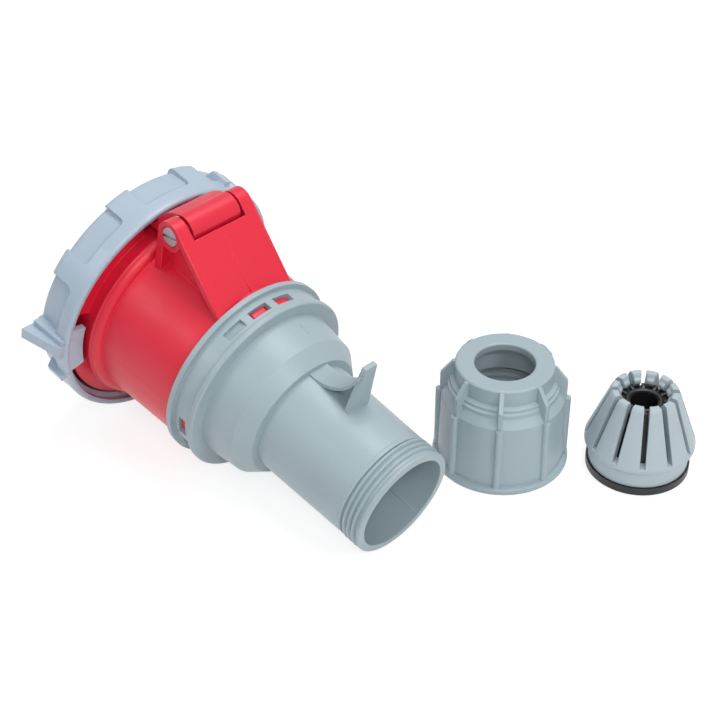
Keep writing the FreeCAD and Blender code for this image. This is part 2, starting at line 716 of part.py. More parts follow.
# Contact carrier: the moulded block that holds the sleeves, with a stepped hole for each.
def contact_carrier():
    body = new_body("contact_carrier")
    block = new_sketch(body, "BlockOutline", "XZ_Plane")
    outline(block, [
        ("0", "carrier_tail"),
        ("tail - 0.05", "carrier_tail"),
        ("tail - 0.05", "well_floor + 0.05"),
        ("carrier", "well_floor + 0.05"),
        ("carrier", "carrier_front - 1"),
        ("carrier - 1", "carrier_front"),
        ("0", "carrier_front"),
    ])
    turned(body, "Block", block)
    for name, angle in CONTACTS:
        lobe = new_sketch(body, name + "LobeOutline", "XY_Plane", lift="carrier_tail")
        circle(lobe, "pitch * cos(%d)" % angle, "pitch * sin(%d)" % angle, "lobe - 0.1")
        pushed(body, name + "Lobe", lobe, "well_floor - carrier_tail + 0.5")
    for name, angle in CONTACTS:
        sleeve, bore = sleeve_sizes(name)
        across = "pitch * cos(%d)" % angle
        along = "pitch * sin(%d)" % angle
        for part, start, length, radius in (
                ("Seat", "carrier_tail - 1", "5", sleeve + " + 1.35"),
                ("Hole", "carrier_tail", "sleeve_front - carrier_tail + 0.1", sleeve + " + 0.05"),
                ("Entry", "sleeve_front", "carrier_front - sleeve_front + 1", bore + " + nose + 0.1")):
            hole = new_sketch(body, name + part + "Outline", "XY_Plane", lift=start)
            circle(hole, across, along, radius)
            pushed(body, name + part, hole, length, cut=True, back=True)
    pilot = new_sketch(body, "PilotOutline", "XY_Plane", lift="carrier_tail - 1")
    circle(pilot, "0", "0", "3.05")
    pushed(body, "PilotHole", pilot, "carrier_front - carrier_tail + 2", cut=True, back=True)
    for place, angle in enumerate(SCREW_ANGLES):
        hole = new_sketch(body, "ScrewHole%dOutline" % place, "XY_Plane", lift="carrier_tail - 1")
        circle(hole, "24.6 * cos(%d)" % angle, "24.6 * sin(%d)" % angle, "1.6")
        pushed(body, "ScrewHole%d" % place, hole, "11", cut=True, back=True)
    return body


CONTACTS = [
    ("earth", -90),
    ("neutral", -18),
    ("l3", 54),
    ("l2", 126),
    ("l1", 198),
]
SCREW_ANGLES = (-54, 18, 162, 234)


def sleeve_sizes(name):
    if name == "earth":
        return "earth_sleeve", "earth_bore"
    return "sleeve", "phase_bore"


def carrier_clamp_plate():
    body = new_body("carrier_clamp_plate")
    disc = new_sketch(body, "DiscOutline", "XZ_Plane")
    outline(disc, [
        ("0", "plate_back"),
        ("tail - 1.7", "plate_back"),
        ("tail - 0.7", "plate_back + 1"),
        ("tail - 0.7", "carrier_tail - 0.05"),
        ("0", "carrier_tail - 0.05"),
    ])
    turned(body, "Disc", disc)
    for name, angle in CONTACTS:
        sleeve, _ = sleeve_sizes(name)
        hole = new_sketch(body, name + "Outline", "XY_Plane", lift="plate_back - 1")
        circle(hole, "pitch * cos(%d)" % angle, "pitch * sin(%d)" % angle, sleeve + " + 0.1")
        pushed(body, name + "Hole", hole, "6", cut=True, back=True)
    pilot = new_sketch(body, "PilotOutline", "XY_Plane", lift="plate_back - 1")
    circle(pilot, "0", "0", "3.1")
    pushed(body, "PilotHole", pilot, "6", cut=True, back=True)
    for place, angle in enumerate(SCREW_ANGLES):
        hole = new_sketch(body, "ScrewHole%dOutline" % place, "XY_Plane", lift="plate_back - 1")
        circle(hole, "24.6 * cos(%d)" % angle, "24.6 * sin(%d)" % angle, "2.1")
        pushed(body, "ScrewHole%d" % place, hole, "6", cut=True, back=True)
    return body


# A contact: sleeve for the plug's pin, a collar that the clamp plate holds, and a terminal block
# with a wire hole and a side hole for its screw. Its z axis is its own middle.
def contact(name):
    body = new_body("contact_" + name)
    sleeve, bore = sleeve_sizes(name)
    profile = new_sketch(body, "ProfileOutline", "XZ_Plane")
    outline(profile, [
        ("0", "terminal_back"),
        (sleeve + " - 0.4", "terminal_back"),
        (sleeve, "terminal_back + 0.4"),
        (sleeve, "carrier_tail"),
        (sleeve + " + 1.3", "carrier_tail"),
        (sleeve + " + 1.3", "carrier_tail + 3.95"),
        (sleeve, "carrier_tail + 3.95"),
        (sleeve, "sleeve_front - 6"),
        (sleeve + " - 0.6", "sleeve_front - 5.4"),
        (sleeve + " - 0.6", "sleeve_front - 3.4"),
        (sleeve, "sleeve_front - 2.8"),
        (sleeve, "sleeve_front"),
        (bore + " + nose", "sleeve_front"),
        (bore + " + nose", "nose_front"),
        (bore + " + 0.5", "nose_front"),
        (bore, "nose_front - 0.5"),
        (bore, "nose_front - 38"),
        ("0", "nose_front - 40"),
    ])
    turned(body, "Sleeve", profile)
    wire = new_sketch(body, "WireHoleOutline", "XY_Plane", lift="terminal_back - 1")
    circle(wire, "0", "0", bore + " + wire_room")
    pushed(body, "WireHole", wire, "14", cut=True, back=True)
    side = new_sketch(body, "ScrewHoleOutline", "YZ_Plane")
    circle(side, "0", "terminal_back + 6.5", "2.05")
    pushed(body, "ScrewHole", side, "20", cut=True, back=True)
    slit = new_sketch(body, "SlitOutline", "YZ_Plane")
    outline(slit, [
        ("-0.4", "sleeve_front - 22"),
        ("0.4", "sleeve_front - 22"),
        ("0.4", "nose_front + 1"),
        ("-0.4", "nose_front + 1"),
    ])
    pushed(body, "Slit", slit, "20", cut=True, both=True)
    return body


def pilot_contact():
    body = new_body("pilot_contact")
    profile = new_sketch(body, "ProfileOutline", "XZ_Plane")
    outline(profile, [
        ("0", "terminal_back + 8"),
        ("2.4", "terminal_back + 8"),
        ("3.0", "terminal_back + 8.6"),
        ("3.0", "carrier_front - 1"),
        ("2.0", "carrier_front - 1"),
        ("2.0", "carrier_front - 28"),
        ("0", "carrier_front - 29"),
    ])
    turned(body, "Tube", profile)
    return body


# One open spring band sits in the groove of each sleeve.
def contact_bands():
    bands = []
    for name, angle in CONTACTS:
        sleeve, _ = sleeve_sizes(name)
        outer = value(sleeve) - 0.02
        ring = doc.addObject("Part::Cylinder", "BandOuter_" + name)
        ring.Radius = outer
        tie(ring, "Radius", sleeve + " - 0.02")
        hole = doc.addObject("Part::Cylinder", "BandInner_" + name)
        hole.Radius = outer - 0.5
        tie(hole, "Radius", sleeve + " - 0.58")
        for item in (ring, hole):
            item.Height = 1.8
            spot = FreeCAD.Vector(value("pitch") * math.cos(math.radians(angle)),
                                  value("pitch") * math.sin(math.radians(angle)),
                                  value("sleeve_front") - 5.3)
            item.Placement = FreeCAD.Placement(spot, FreeCAD.Rotation())
        cut = doc.addObject("Part::Cut", "Band_" + name)
        cut.Base = ring
        cut.Tool = hole
        bands.append(cut)
    group = doc.addObject("Part::Compound", "contact_bands")
    group.Label = "contact_bands"
    group.Links = bands
    doc.recompute()
    return group


# Screws are turned profiles with a cross cut or a slot, copied to their places as one group.
def screw_group(label, profile, slot_width, places):
    tool = new_body(label + "_pattern")
    sketch = new_sketch(tool, "ProfileOutline", "XZ_Plane")
    outline(sketch, profile)
    turned(tool, "Profile", sketch)
    head = value(profile[-1][1])
    slot = new_sketch(tool, "SlotOutline", "XY_Plane", lift=str(head - 1.2))
    half = str(slot_width / 2)
    outline(slot, [("-9", "-" + half), ("9", "-" + half), ("9", half), ("-9", half)])
    pushed(tool, "Slot", slot, "3", cut=True, back=True)
    copies = []
    for place, placement in enumerate(places):
        copy = doc.addObject("Part::Feature", "%s_%d" % (label, place))
        copy.Shape = tool.Shape.copy()
        copy.Placement = placement
        copies.append(copy)
    group = doc.addObject("Part::Compound", label)
    group.Label = label
    group.Links = copies
    doc.recompute()
    return group


def terminal_screws():
    profile = [("0", "0"), ("1.6", "0"), ("2.0", "0.4"), ("2.0", "6.6"), ("0", "6.6")]
    places = []
    for name, angle in CONTACTS:
        _, bore = sleeve_sizes(name)
        turn = FreeCAD.Rotation(FreeCAD.Vector(0, 0, 1), angle)
        tip = FreeCAD.Rotation(FreeCAD.Vector(0, 1, 0), 90)
        reach = value("pitch + wire_room") + value(bore) + 0.05
        spot = turn.multVec(FreeCAD.Vector(reach, 0, value("terminal_back") + 6.5))
        places.append(FreeCAD.Placement(spot, turn * tip))
    return screw_group("terminal_screws", profile, 0.9, places)


def carrier_screws():
    profile = [("0", "-9"), ("1.1", "-9"), ("1.55", "-8.4"), ("1.55", "4"), ("3.4", "4"),
               ("3.4", "5.6"), ("2.6", "6.4"), ("0", "6.4")]
    places = []
    for angle in SCREW_ANGLES:
        turn = FreeCAD.Rotation(FreeCAD.Vector(0, 0, 1), angle)
        flip = FreeCAD.Rotation(FreeCAD.Vector(0, 1, 0), 180)
        spot = turn.multVec(FreeCAD.Vector(24.6, 0, value("plate_back") + 4))
        places.append(FreeCAD.Placement(spot, turn * flip))
    return screw_group("carrier_screws", profile, 0.9, places)


# Gland nut, standing on its base. Half-round ribs climb its side and end in fins.
def gland_nut():
    body = new_body("gland_nut")
    wall = new_sketch(body, "WallOutline", "XZ_Plane")
    outline(wall, [
        ("nut_thread", "0"),
        ("nut_base - 1", "0"),
        ("nut_base", "1", "1", "left"),
        ("nut_base", "2.2"),
        ("nut_base - 1.2", "3.4", "1.2", "left"),
        ("nut_body", "3.6"),
        ("nut_body - 0.9", "36.2"),
        ("nut_body - 3.7", "40.5"),
        ("nut_body - 3.7", "42.3"),
        ("nut_body - 4.8", "43.0"),
        ("nut_body - 4.8", "44.4"),
        ("nut_neck", "45.4"),
        ("nut_neck", "nut_height - 0.7"),
        ("nut_neck - 0.7", "nut_height"),
        ("nut_hole + 1", "nut_height"),
        ("nut_hole", "nut_height - 1", "1", "left"),
        ("nut_hole", "nut_height - 3.6"),
        ("nut_hole + 1.6", "nut_height - 4"),
        ("nut_thread - 1", "35.5"),
        ("nut_thread", "34"),
    ])
    turned(body, "Wall", wall)
    rib = new_sketch(body, "RibOutline", "XY_Plane", lift="1.2")
    circle(rib, "nut_body - 0.1", "0", "1.8")
    rib_pad = pushed(body, "Rib", rib, "35")
    repeated(body, "Ribs", [rib_pad], rib, "rib_count", axis="N_Axis")
    fin = new_sketch(body, "FinOutline", "XZ_Plane")
    outline(fin, [
        ("nut_neck - 2", "36.0"),
        ("nut_body - 0.3", "36.0"),
        ("nut_body - 0.3", "45.6"),
        ("nut_neck + 0.9", "nut_height - 0.9"),
        ("nut_neck - 2", "nut_height - 0.9"),
    ])
    fin_pad = pushed(body, "Fin", fin, "2.1", both=True)
    repeated(body, "Fins", [fin_pad], fin, "rib_count")
    return body


# Clamp cage: a skirt and rim that carry twelve sloping fingers.
def clamp_cage():
    body = new_body("clamp_cage")
    wall = new_sketch(body, "WallOutline", "XZ_Plane")
    outline(wall, [
        ("20.4", "4.4"),
        ("23.4", "4.4"),
        ("23.6", "13.2"),
        ("cage_rim - 0.5", "13.6"),
        ("cage_rim", "14.4"),
        ("cage_rim", "16.0"),
        ("cage_tip + 0.9", "cage_height - 1.4"),
        ("cage_tip", "cage_height"),
        ("cage_tip - 2.6", "cage_height"),
        ("cage_tip - 3.4", "cage_height - 1.6"),
        ("cage_tip - 2.6", "cage_height - 5"),
        ("20.4", "18"),
    ])
    turned(body, "Wall", wall)
    slot = new_sketch(body, "SlotOutline", "YZ_Plane")
    outline(slot, [
        ("-slot_width / 2", "16.6"),
        ("slot_width / 2", "16.6"),
        ("slot_width / 2", "cage_height + 1"),
        ("-slot_width / 2", "cage_height + 1"),
    ])
    cut = pushed(body, "Slot", slot, "30", cut=True, back=True)
    repeated(body, "Slots", [cut], slot, "finger_count", cut=True)
    return body


# Cable seal: a rubber sleeve with a base on which the cage stands.
def cable_seal():
    body = new_body("cable_seal")
    section = new_sketch(body, "SectionOutline", "XZ_Plane")
    outline(section, [
        ("seal_hole + 2", "0"),
        ("seal_base - 0.5", "0"),
        ("seal_base", "0.5"),
        ("seal_base", "4.3"),
        ("20.2", "4.3"),
        ("20.2", "17.4"),
        ("12.1", "cage_height - 6.6"),
        ("seal_hole", "cage_height - 6.6"),
        ("seal_hole", "6"),
    ])
    turned(body, "Sleeve", section)
    return body


# Build every piece, then lay the body down so that the ring's rounded rear lip and the neck's rim
# both touch the floor.
rise = value("ring_foot - ring_edge - neck_rim")
run = value("ring_back + ring_edge - rim_edge")
tilt = math.atan2(rise, run) + math.asin(value("ring_edge") / math.hypot(rise, run))
height = value("neck_rim") * math.cos(tilt) - value("rim_edge") * math.sin(tilt)
side = FreeCAD.Vector(0, -1, 0)
up = FreeCAD.Vector(math.sin(tilt), 0, math.cos(tilt))
along = FreeCAD.Vector(-math.cos(tilt), 0, math.sin(tilt))
lying = FreeCAD.Placement(
    FreeCAD.Matrix(side.x, up.x, along.x, 0, side.y, up.y, along.y, 0,
                   side.z, up.z, along.z, height, 0, 0, 0, 1))

lying_pieces = [rear_housing(), front_housing(), housing_oring(), lid(), lid_gasket(),
                bayonet_ring(), contact_carrier(), carrier_clamp_plate(), pilot_contact(),
                contact_bands(), terminal_screws(), carrier_screws()]
placed = [(piece, lying) for piece in lying_pieces]

for name, angle in CONTACTS:
    turn = FreeCAD.Rotation(FreeCAD.Vector(0, 0, 1), angle)
    spot = turn.multVec(FreeCAD.Vector(value("pitch"), 0, 0))
    placed.append((contact(name), lying * FreeCAD.Placement(spot, turn)))

hinge_spot = FreeCAD.Vector(0, value("hinge_height"), value("hinge_station"))
hinge_turn = FreeCAD.Rotation(FreeCAD.Vector(0, 1, 0), 90)
hinge = lying * FreeCAD.Placement(hinge_spot, hinge_turn)
slot_turn = FreeCAD.Rotation(FreeCAD.Vector(0, 0, 1), 19.5)
placed.append((hinge_pin(), hinge * FreeCAD.Placement(FreeCAD.Vector(), slot_turn)))
placed.append((lid_spring(), hinge))

nut_turn = FreeCAD.Rotation(FreeCAD.Vector(0, 0, 1), -7.4)
placed.append((gland_nut(), FreeCAD.Placement(FreeCAD.Vector(*NUT_PLACE, 0), nut_turn)))
cage_turn = FreeCAD.Rotation(FreeCAD.Vector(0, 0, 1), 9.6)
cage = FreeCAD.Placement(FreeCAD.Vector(*CAGE_PLACE, 0), cage_turn)
placed.append((clamp_cage(), cage))
placed.append((cable_seal(), cage))

# The origin is on the floor, under the middle of the bounding box.
whole = FreeCAD.BoundBox()
for piece, placement in placed:
    piece.Placement = placement
doc.recompute()
for piece, _ in placed:
    whole.add(piece.Shape.optimalBoundingBox())
shift = FreeCAD.Placement(
    FreeCAD.Vector(-whole.Center.x, -whole.Center.y, -whole.ZMin), FreeCAD.Rotation())
for piece, placement in placed:
    piece.Placement = shift * placement
doc.recompute()

for item in doc.Objects:
    if "Invalid" in item.State or "Error" in item.State:
        raise RuntimeError("%s did not build" % item.Label)
for piece, _ in placed:
    shape = piece.Shape
    if shape.isNull() or not shape.isValid():
        raise RuntimeError("%s has no valid shape" % piece.Label)
for piece, _ in placed:
    piece.Shape.exportStep("parts/%s.step" % piece.Label)
    print("%-22s solids %d volume %.0f" % (piece.Label, len(piece.Shape.Solids), piece.Shape.Volume))
print("shift %.3f %.3f %.3f tilt %.3f" % (*shift.Base, math.degrees(tilt)))
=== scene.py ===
import math

import bmesh
import bpy
from mathutils import Matrix, Vector


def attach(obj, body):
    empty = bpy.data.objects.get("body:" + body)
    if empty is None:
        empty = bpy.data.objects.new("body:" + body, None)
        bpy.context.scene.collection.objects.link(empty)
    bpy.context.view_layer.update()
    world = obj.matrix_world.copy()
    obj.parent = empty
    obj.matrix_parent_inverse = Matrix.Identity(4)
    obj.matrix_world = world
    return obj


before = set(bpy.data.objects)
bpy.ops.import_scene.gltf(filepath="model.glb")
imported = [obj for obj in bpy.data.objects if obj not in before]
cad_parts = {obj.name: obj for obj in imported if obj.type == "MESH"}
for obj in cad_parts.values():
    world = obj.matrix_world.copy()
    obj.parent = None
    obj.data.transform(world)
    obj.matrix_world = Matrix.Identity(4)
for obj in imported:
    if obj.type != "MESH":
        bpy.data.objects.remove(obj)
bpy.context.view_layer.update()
print("CAD model loaded:", len(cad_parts), "nodes")


# Where the pieces lie. Station 0 of the housing's own axis is the face of the cable neck, and the
# stations grow towards the lid.
lie = {
    "neckFace": (0.062226, -0.038276),   # middle of the neck's face, seen from above
    "axisHeight": 0.026449,              # height of the axis at station 0
    "tilt": math.radians(12.480),        # the lid's end is higher
    "nut": (0.049126, 0.043524),
    "nutTurn": math.radians(-7.4),
    "cage": (0.100726, 0.083324),
    "cageTurn": math.radians(9.6),
}
cosTilt, sinTilt = math.cos(lie["tilt"]), math.sin(lie["tilt"])
# columns: towards the pin's head, up, along the axis to the lid, then the middle of the neck's face
housingAxes = Matrix((
    (0, sinTilt, -cosTilt, lie["neckFace"][0]),
    (-1, 0, 0, lie["neckFace"][1]),
    (0, cosTilt, sinTilt, lie["axisHeight"]),
    (0, 0, 0, 1),
))
nutAxes = Matrix.Translation((*lie["nut"], 0)) @ Matrix.Rotation(lie["nutTurn"], 4, "Z")
cageAxes = Matrix.Translation((*lie["cage"], 0))


def linear(hexColour):
    parts = [int(hexColour[i:i + 2], 16) / 255 for i in (1, 3, 5)]
    return [p / 12.92 if p <= 0.04045 else ((p + 0.055) / 1.055) ** 2.4 for p in parts] + [1.0]


def addNode(owner, kind, values=None, links=None):
    node = owner.node_tree.nodes.new(kind)
    for key, value in (values or {}).items():
        if isinstance(key, int) or key in node.inputs:
            node.inputs[key].default_value = value
        else:
            setattr(node, key, value)
    for key, socket in (links or {}).items():
        owner.node_tree.links.new(socket, node.inputs[key])
    return node


def newMaterial(name):
    material = bpy.data.materials.new(name)
    material.use_nodes = True
    material.node_tree.nodes.clear()
    return material


# the input numbers 0, 6 and 7 of a colour mix are its factor and its two colours
def mixColours(material, factor, first, second):
    return addNode(material, "ShaderNodeMix",
                   {"data_type": "RGBA", 6: linear(first), 7: linear(second)}, {0: factor})


def addOutput(material, shader):
    addNode(material, "ShaderNodeOutputMaterial", links={"Surface": shader.outputs["BSDF"]})
    return material


# Plastics from a textured steel mould: satin, with a fine spark-eroded grain, soft highlights and
# faint flow clouds in the colour. Edges are painted a little paler, as a painted highlight.
# the last colour of each finish is the paler tone of the painted edge highlight
plastics = {
    "greyPolyamide": {"base": "#A4B5BC", "cloud": "#9DAEB5", "edgeHighlight": "#B3C2C9",
                      "roughness": 0.40, "grain": 0.08},
    "ringPolyamide": {"base": "#AFC0D0", "cloud": "#A8B9C9", "edgeHighlight": "#BCCBD8",
                      "roughness": 0.29, "grain": 0.06},
    "redPolyamide": {"base": "#E11838", "cloud": "#DA1534", "edgeHighlight": "#EB3550",
                     "roughness": 0.38, "grain": 0.07},
    "cagePolyamide": {"base": "#B3C1C8", "cloud": "#ABB9C0", "edgeHighlight": "#BFCBD1",
                      "roughness": 0.44, "grain": 0.08},
    "blackPhenolic": {"base": "#1D1E20", "cloud": "#17181A", "edgeHighlight": "#26272A",
                      "roughness": 0.52, "grain": 0.12},
}
moulding = {
    "cloudScale": 55.0,        # flow clouds about 18 mm across
    "edgeRadius": 0.0006,
    # how far the rounded normal must bend before the painted edge highlight shows, and its greatest
    # share
    "highlightFrom": 0.98, "highlightTo": 0.80, "highlightMost": 0.75,
    "grainScale": 2200.0,      # drawn at 0.45 mm, because the real 0.1 mm is too fine to show
    "grainDepth": 0.0003,
    "smoother": 0.03, "rougher": 0.05,
}


def plasticMaterial(name):
    look = plastics[name]
    material = newMaterial(name)
    where = addNode(material, "ShaderNodeTexCoord").outputs["Object"]
    clouds = addNode(material, "ShaderNodeTexNoise",
                     {"Scale": moulding["cloudScale"], "Detail": 3.0, "Roughness": 0.55},
                     {"Vector": where})
    tone = mixColours(material, clouds.outputs["Fac"], look["base"], look["cloud"])
    # where two faces meet, the rounded normal leaves the true one, and there a painted highlight
    # makes the edge paler
    rounded = addNode(material, "ShaderNodeBevel", {"samples": 6, "Radius": moulding["edgeRadius"]})
    surface = addNode(material, "ShaderNodeNewGeometry")
    bend = addNode(material, "ShaderNodeVectorMath", {"operation": "DOT_PRODUCT"},
                   {0: rounded.outputs["Normal"], 1: surface.outputs["Normal"]})
    edgeHighlightMask = addNode(material, "ShaderNodeMapRange",
                   {"From Min": moulding["highlightFrom"], "From Max": moulding["highlightTo"],
                    "To Min": 0.0, "To Max": moulding["highlightMost"]},
                   {"Value": bend.outputs["Value"]})
    colour = addNode(material, "ShaderNodeMix", {"data_type": "RGBA", 7: linear(look["edgeHighlight"])},
                     {0: edgeHighlightMask.outputs["Result"], 6: tone.outputs[2]})
    grain = addNode(material, "ShaderNodeTexNoise",
                    {"Scale": moulding["grainScale"], "Detail": 2.0, "Roughness": 0.6},
                    {"Vector": where})
    bump = addNode(material, "ShaderNodeBump",
                   {"Strength": look["grain"], "Distance": moulding["grainDepth"]},
                   {"Height": grain.outputs["Fac"], "Normal": rounded.outputs["Normal"]})
    gloss = addNode(material, "ShaderNodeMapRange",
                    {"From Min": 0.3, "From Max": 0.7,
                     "To Min": look["roughness"] - moulding["smoother"],
                     "To Max": look["roughness"] + moulding["rougher"]},
                    {"Value": clouds.outputs["Fac"]})
    shader = addNode(material, "ShaderNodeBsdfPrincipled", {"IOR": 1.53},
                     {"Base Color": colour.outputs[2], "Roughness": gloss.outputs["Result"],
                      "Normal": bump.outputs["Normal"]})
    return addOutput(material, shader)


# Nitrile rubber from a polished mould: nearly black with a soft gloss, and a faint cloudy bloom.
rubber = {"base": "#0E0F10", "bloom": "#1C1D1F", "bloomScale": 160.0, "skinScale": 1500.0,
          "skinDepth": 0.0003, "roughness": 0.36}


def rubberMaterial(name):
    material = newMaterial(name)
    where = addNode(material, "ShaderNodeTexCoord").outputs["Object"]
    bloom = addNode(material, "ShaderNodeTexNoise",
                    {"Scale": rubber["bloomScale"], "Detail": 5.0, "Roughness": 0.6},
                    {"Vector": where})
    colour = mixColours(material, bloom.outputs["Fac"], rubber["base"], rubber["bloom"])
    skin = addNode(material, "ShaderNodeTexNoise", {"Scale": rubber["skinScale"], "Detail": 2.0},
                   {"Vector": where})
    bump = addNode(material, "ShaderNodeBump", {"Strength": 0.2, "Distance": rubber["skinDepth"]},
                   {"Height": skin.outputs["Fac"]})
    shader = addNode(material, "ShaderNodeBsdfPrincipled",
                     {"IOR": 1.52, "Roughness": rubber["roughness"]},
                     {"Base Color": colour.outputs[2], "Normal": bump.outputs["Normal"]})
    return addOutput(material, shader)


# Metals: turned brass under nickel, drawn spring wire, and steel under bright zinc.
metals = {
    "nickelPlatedBrass": {"light": "#D8D3C4", "dark": "#C4BDA8",
                          "roughness": 0.24, "marks": 2600.0},
    "springSteel": {"light": "#C3C6CA", "dark": "#A6AAB0",
                    "roughness": 0.28, "marks": 3000.0},
    "zincPlatedSteel": {"light": "#C9CCD0", "dark": "#B3B7BE",
                        "roughness": 0.34, "marks": 1400.0},
}
metalSkin = {"tarnishScale": 220.0, "markStrength": 0.12, "markDepth": 0.0002,
             "smoother": 0.06, "rougher": 0.10}


def metalMaterial(name):
    look = metals[name]
    material = newMaterial(name)
    where = addNode(material, "ShaderNodeTexCoord").outputs["Object"]
    tarnish = addNode(material, "ShaderNodeTexNoise",
                      {"Scale": metalSkin["tarnishScale"], "Detail": 4.0}, {"Vector": where})
    colour = mixColours(material, tarnish.outputs["Fac"], look["light"], look["dark"])
    marks = addNode(material, "ShaderNodeTexNoise", {"Scale": look["marks"], "Detail": 2.0},
                    {"Vector": where})
    bump = addNode(material, "ShaderNodeBump",
                   {"Strength": metalSkin["markStrength"], "Distance": metalSkin["markDepth"]},
                   {"Height": marks.outputs["Fac"]})
    gloss = addNode(material, "ShaderNodeMapRange",
                    {"To Min": look["roughness"] - metalSkin["smoother"],
                     "To Max": look["roughness"] + metalSkin["rougher"]},
                    {"Value": tarnish.outputs["Fac"]})
    shader = addNode(material, "ShaderNodeBsdfPrincipled", {"Metallic": 1.0},
                     {"Base Color": colour.outputs[2], "Roughness": gloss.outputs["Result"],
                      "Normal": bump.outputs["Normal"]})
    return addOutput(material, shader)


finishes = {name: plasticMaterial(name) for name in plastics}
finishes["nitrileRubber"] = rubberMaterial("nitrileRubber")
for metalName in metals:
    finishes[metalName] = metalMaterial(metalName)

nodeFinish = {
    "rear_housing": "greyPolyamide",
    "gland_nut": "greyPolyamide",
    "bayonet_ring": "ringPolyamide",
    "clamp_cage": "cagePolyamide",
    "front_housing": "redPolyamide",
    "lid": "redPolyamide",
    "contact_carrier": "blackPhenolic",
    "carrier_clamp_plate": "blackPhenolic",
    "housing_oring": "nitrileRubber",
    "lid_gasket": "nitrileRubber",
    "cable_seal": "nitrileRubber",
    "pilot_contact": "nickelPlatedBrass",
    "contact_earth": "nickelPlatedBrass",
    "contact_neutral": "nickelPlatedBrass",
    "contact_l3": "nickelPlatedBrass",
    "contact_l2": "nickelPlatedBrass",
    "contact_l1": "nickelPlatedBrass",
    "contact_bands": "springSteel",
    "lid_spring": "springSteel",
    "terminal_screws": "zincPlatedSteel",
    "carrier_screws": "zincPlatedSteel",
    "hinge_pin": "zincPlatedSteel",
}
for nodeName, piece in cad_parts.items():
    piece.data.materials.clear()
    piece.data.materials.append(finishes[nodeFinish[nodeName]])
print("materials on all nodes")


reach = {"pick": 1e-5, "merge": 1e-6}   # how near a vertex counts as there, and as the same one


def deselectAll():
    bpy.ops.object.select_all(action="DESELECT")


def pickVertices(piece, wanted):
    bpy.ops.object.mode_set(mode="EDIT")
    bpy.ops.mesh.select_mode(type="VERT")
    bpy.ops.mesh.select_all(action="DESELECT")
    mesh = bmesh.from_edit_mesh(piece.data)
    for vertex in mesh.verts:
        if wanted(vertex.co):
            vertex.select = True
    mesh.select_flush(True)
    bmesh.update_edit_mesh(piece.data)


def applyModifiers(piece):
    deselectAll()
    bpy.context.view_layer.objects.active = piece
    piece.select_set(True)
    for modifier in list(piece.modifiers):
        bpy.ops.object.modifier_apply(modifier=modifier.name)


def namePiece(name, scale=(1, 1, 1)):
    piece = bpy.context.object
    piece.name = name
    piece.scale = scale
    bpy.ops.object.transform_apply(location=True, rotation=True, scale=True)
    return piece


# a rectangle in the plane through the axis, to be wound or spun about it
def addProfile(name, inner, outer, bottom, top):
    deselectAll()
    bpy.ops.mesh.primitive_plane_add(size=1, rotation=(math.pi / 2, 0, 0),
                                     location=((inner + outer) / 2, 0, (bottom + top) / 2))
    return namePiece(name, (outer - inner, top - bottom, 1))


def addBlock(name, look):
    deselectAll()
    bpy.ops.mesh.primitive_cube_add(size=1, location=(
        (look["inner"] + look["outer"]) / 2, 0, (look["foot"] + look["top"]) / 2))
    size = (look["outer"] - look["inner"], look["width"], look["top"] - look["foot"])
    return namePiece(name, size)


# a circle in the plane through the axis
def addHoop(name, look, fill="NOTHING"):
    deselectAll()
    bpy.ops.mesh.primitive_circle_add(vertices=look["sides"], radius=look["thick"],
                                      rotation=(math.pi / 2, 0, 0),
                                      location=(look["radius"], 0, look["height"]), fill_type=fill)
    hoop = namePiece(name)
    bpy.ops.object.mode_set(mode="EDIT")
    return hoop


def dropFaces():
    bpy.ops.mesh.select_all(action="SELECT")
    bpy.ops.mesh.delete(type="ONLY_FACE")


def spinSelected(steps, angle=2 * math.pi):
    bpy.ops.mesh.select_all(action="SELECT")
    bpy.ops.mesh.spin(steps=steps, angle=angle, center=(0, 0, 0), axis=(0, 0, 1))


def closeSpin():
    bpy.ops.mesh.select_all(action="SELECT")
    bpy.ops.mesh.remove_doubles(threshold=reach["merge"])
    bpy.ops.mesh.normals_make_consistent(inside=False)
    bpy.ops.object.mode_set(mode="OBJECT")


def closeEnds():
    bpy.ops.mesh.select_all(action="DESELECT")
    bpy.ops.mesh.select_non_manifold()
    bpy.ops.mesh.edge_face_add()
    bpy.ops.mesh.select_all(action="SELECT")
    bpy.ops.mesh.normals_make_consistent(inside=False)
    bpy.ops.object.mode_set(mode="OBJECT")


def bevelAll(width, segments):
    bpy.ops.mesh.select_all(action="SELECT")
    bpy.ops.mesh.bevel(offset=width, segments=segments, affect="EDGES")
    bpy.ops.object.mode_set(mode="OBJECT")


def smoothBelow(degrees):
    bpy.ops.object.shade_smooth_by_angle(angle=math.radians(degrees))


def repeatAround(piece, count):
    copies = [piece]
    for index in range(1, count):
        deselectAll()
        piece.select_set(True)
        bpy.context.view_layer.objects.active = piece
        bpy.ops.object.duplicate()
        copy = bpy.context.object
        copy.data.transform(Matrix.Rotation(2 * math.pi * index / count, 4, "Z"))
        copies.append(copy)
    deselectAll()
    for copy in copies:
        copy.select_set(True)
    bpy.context.view_layer.objects.active = piece
    bpy.ops.object.join()


def finishPiece(piece, axes, material, body):
    piece.data.transform(axes)
    piece.data.materials.clear()
    piece.data.materials.append(finishes[material])
    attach(piece, body)


# Cable threads with round crests. Their root cylinders are in the CAD nodes.
threads = {
    "neck_thread": {"root": 0.02590, "crest": 0.02745, "start": 0.0036, "pitch": 0.0027,
                    "turns": 3, "foot": 0.0025, "top": 0.0009},
    "nut_thread": {"root": 0.02770, "crest": 0.02610, "start": 0.0032, "pitch": 0.0036,
                   "turns": 8, "foot": 0.0034, "top": 0.0013},
}
threadForm = {"rounding": 0.42, "steps": 160, "smooth": 50}   # rounding is a share of the top


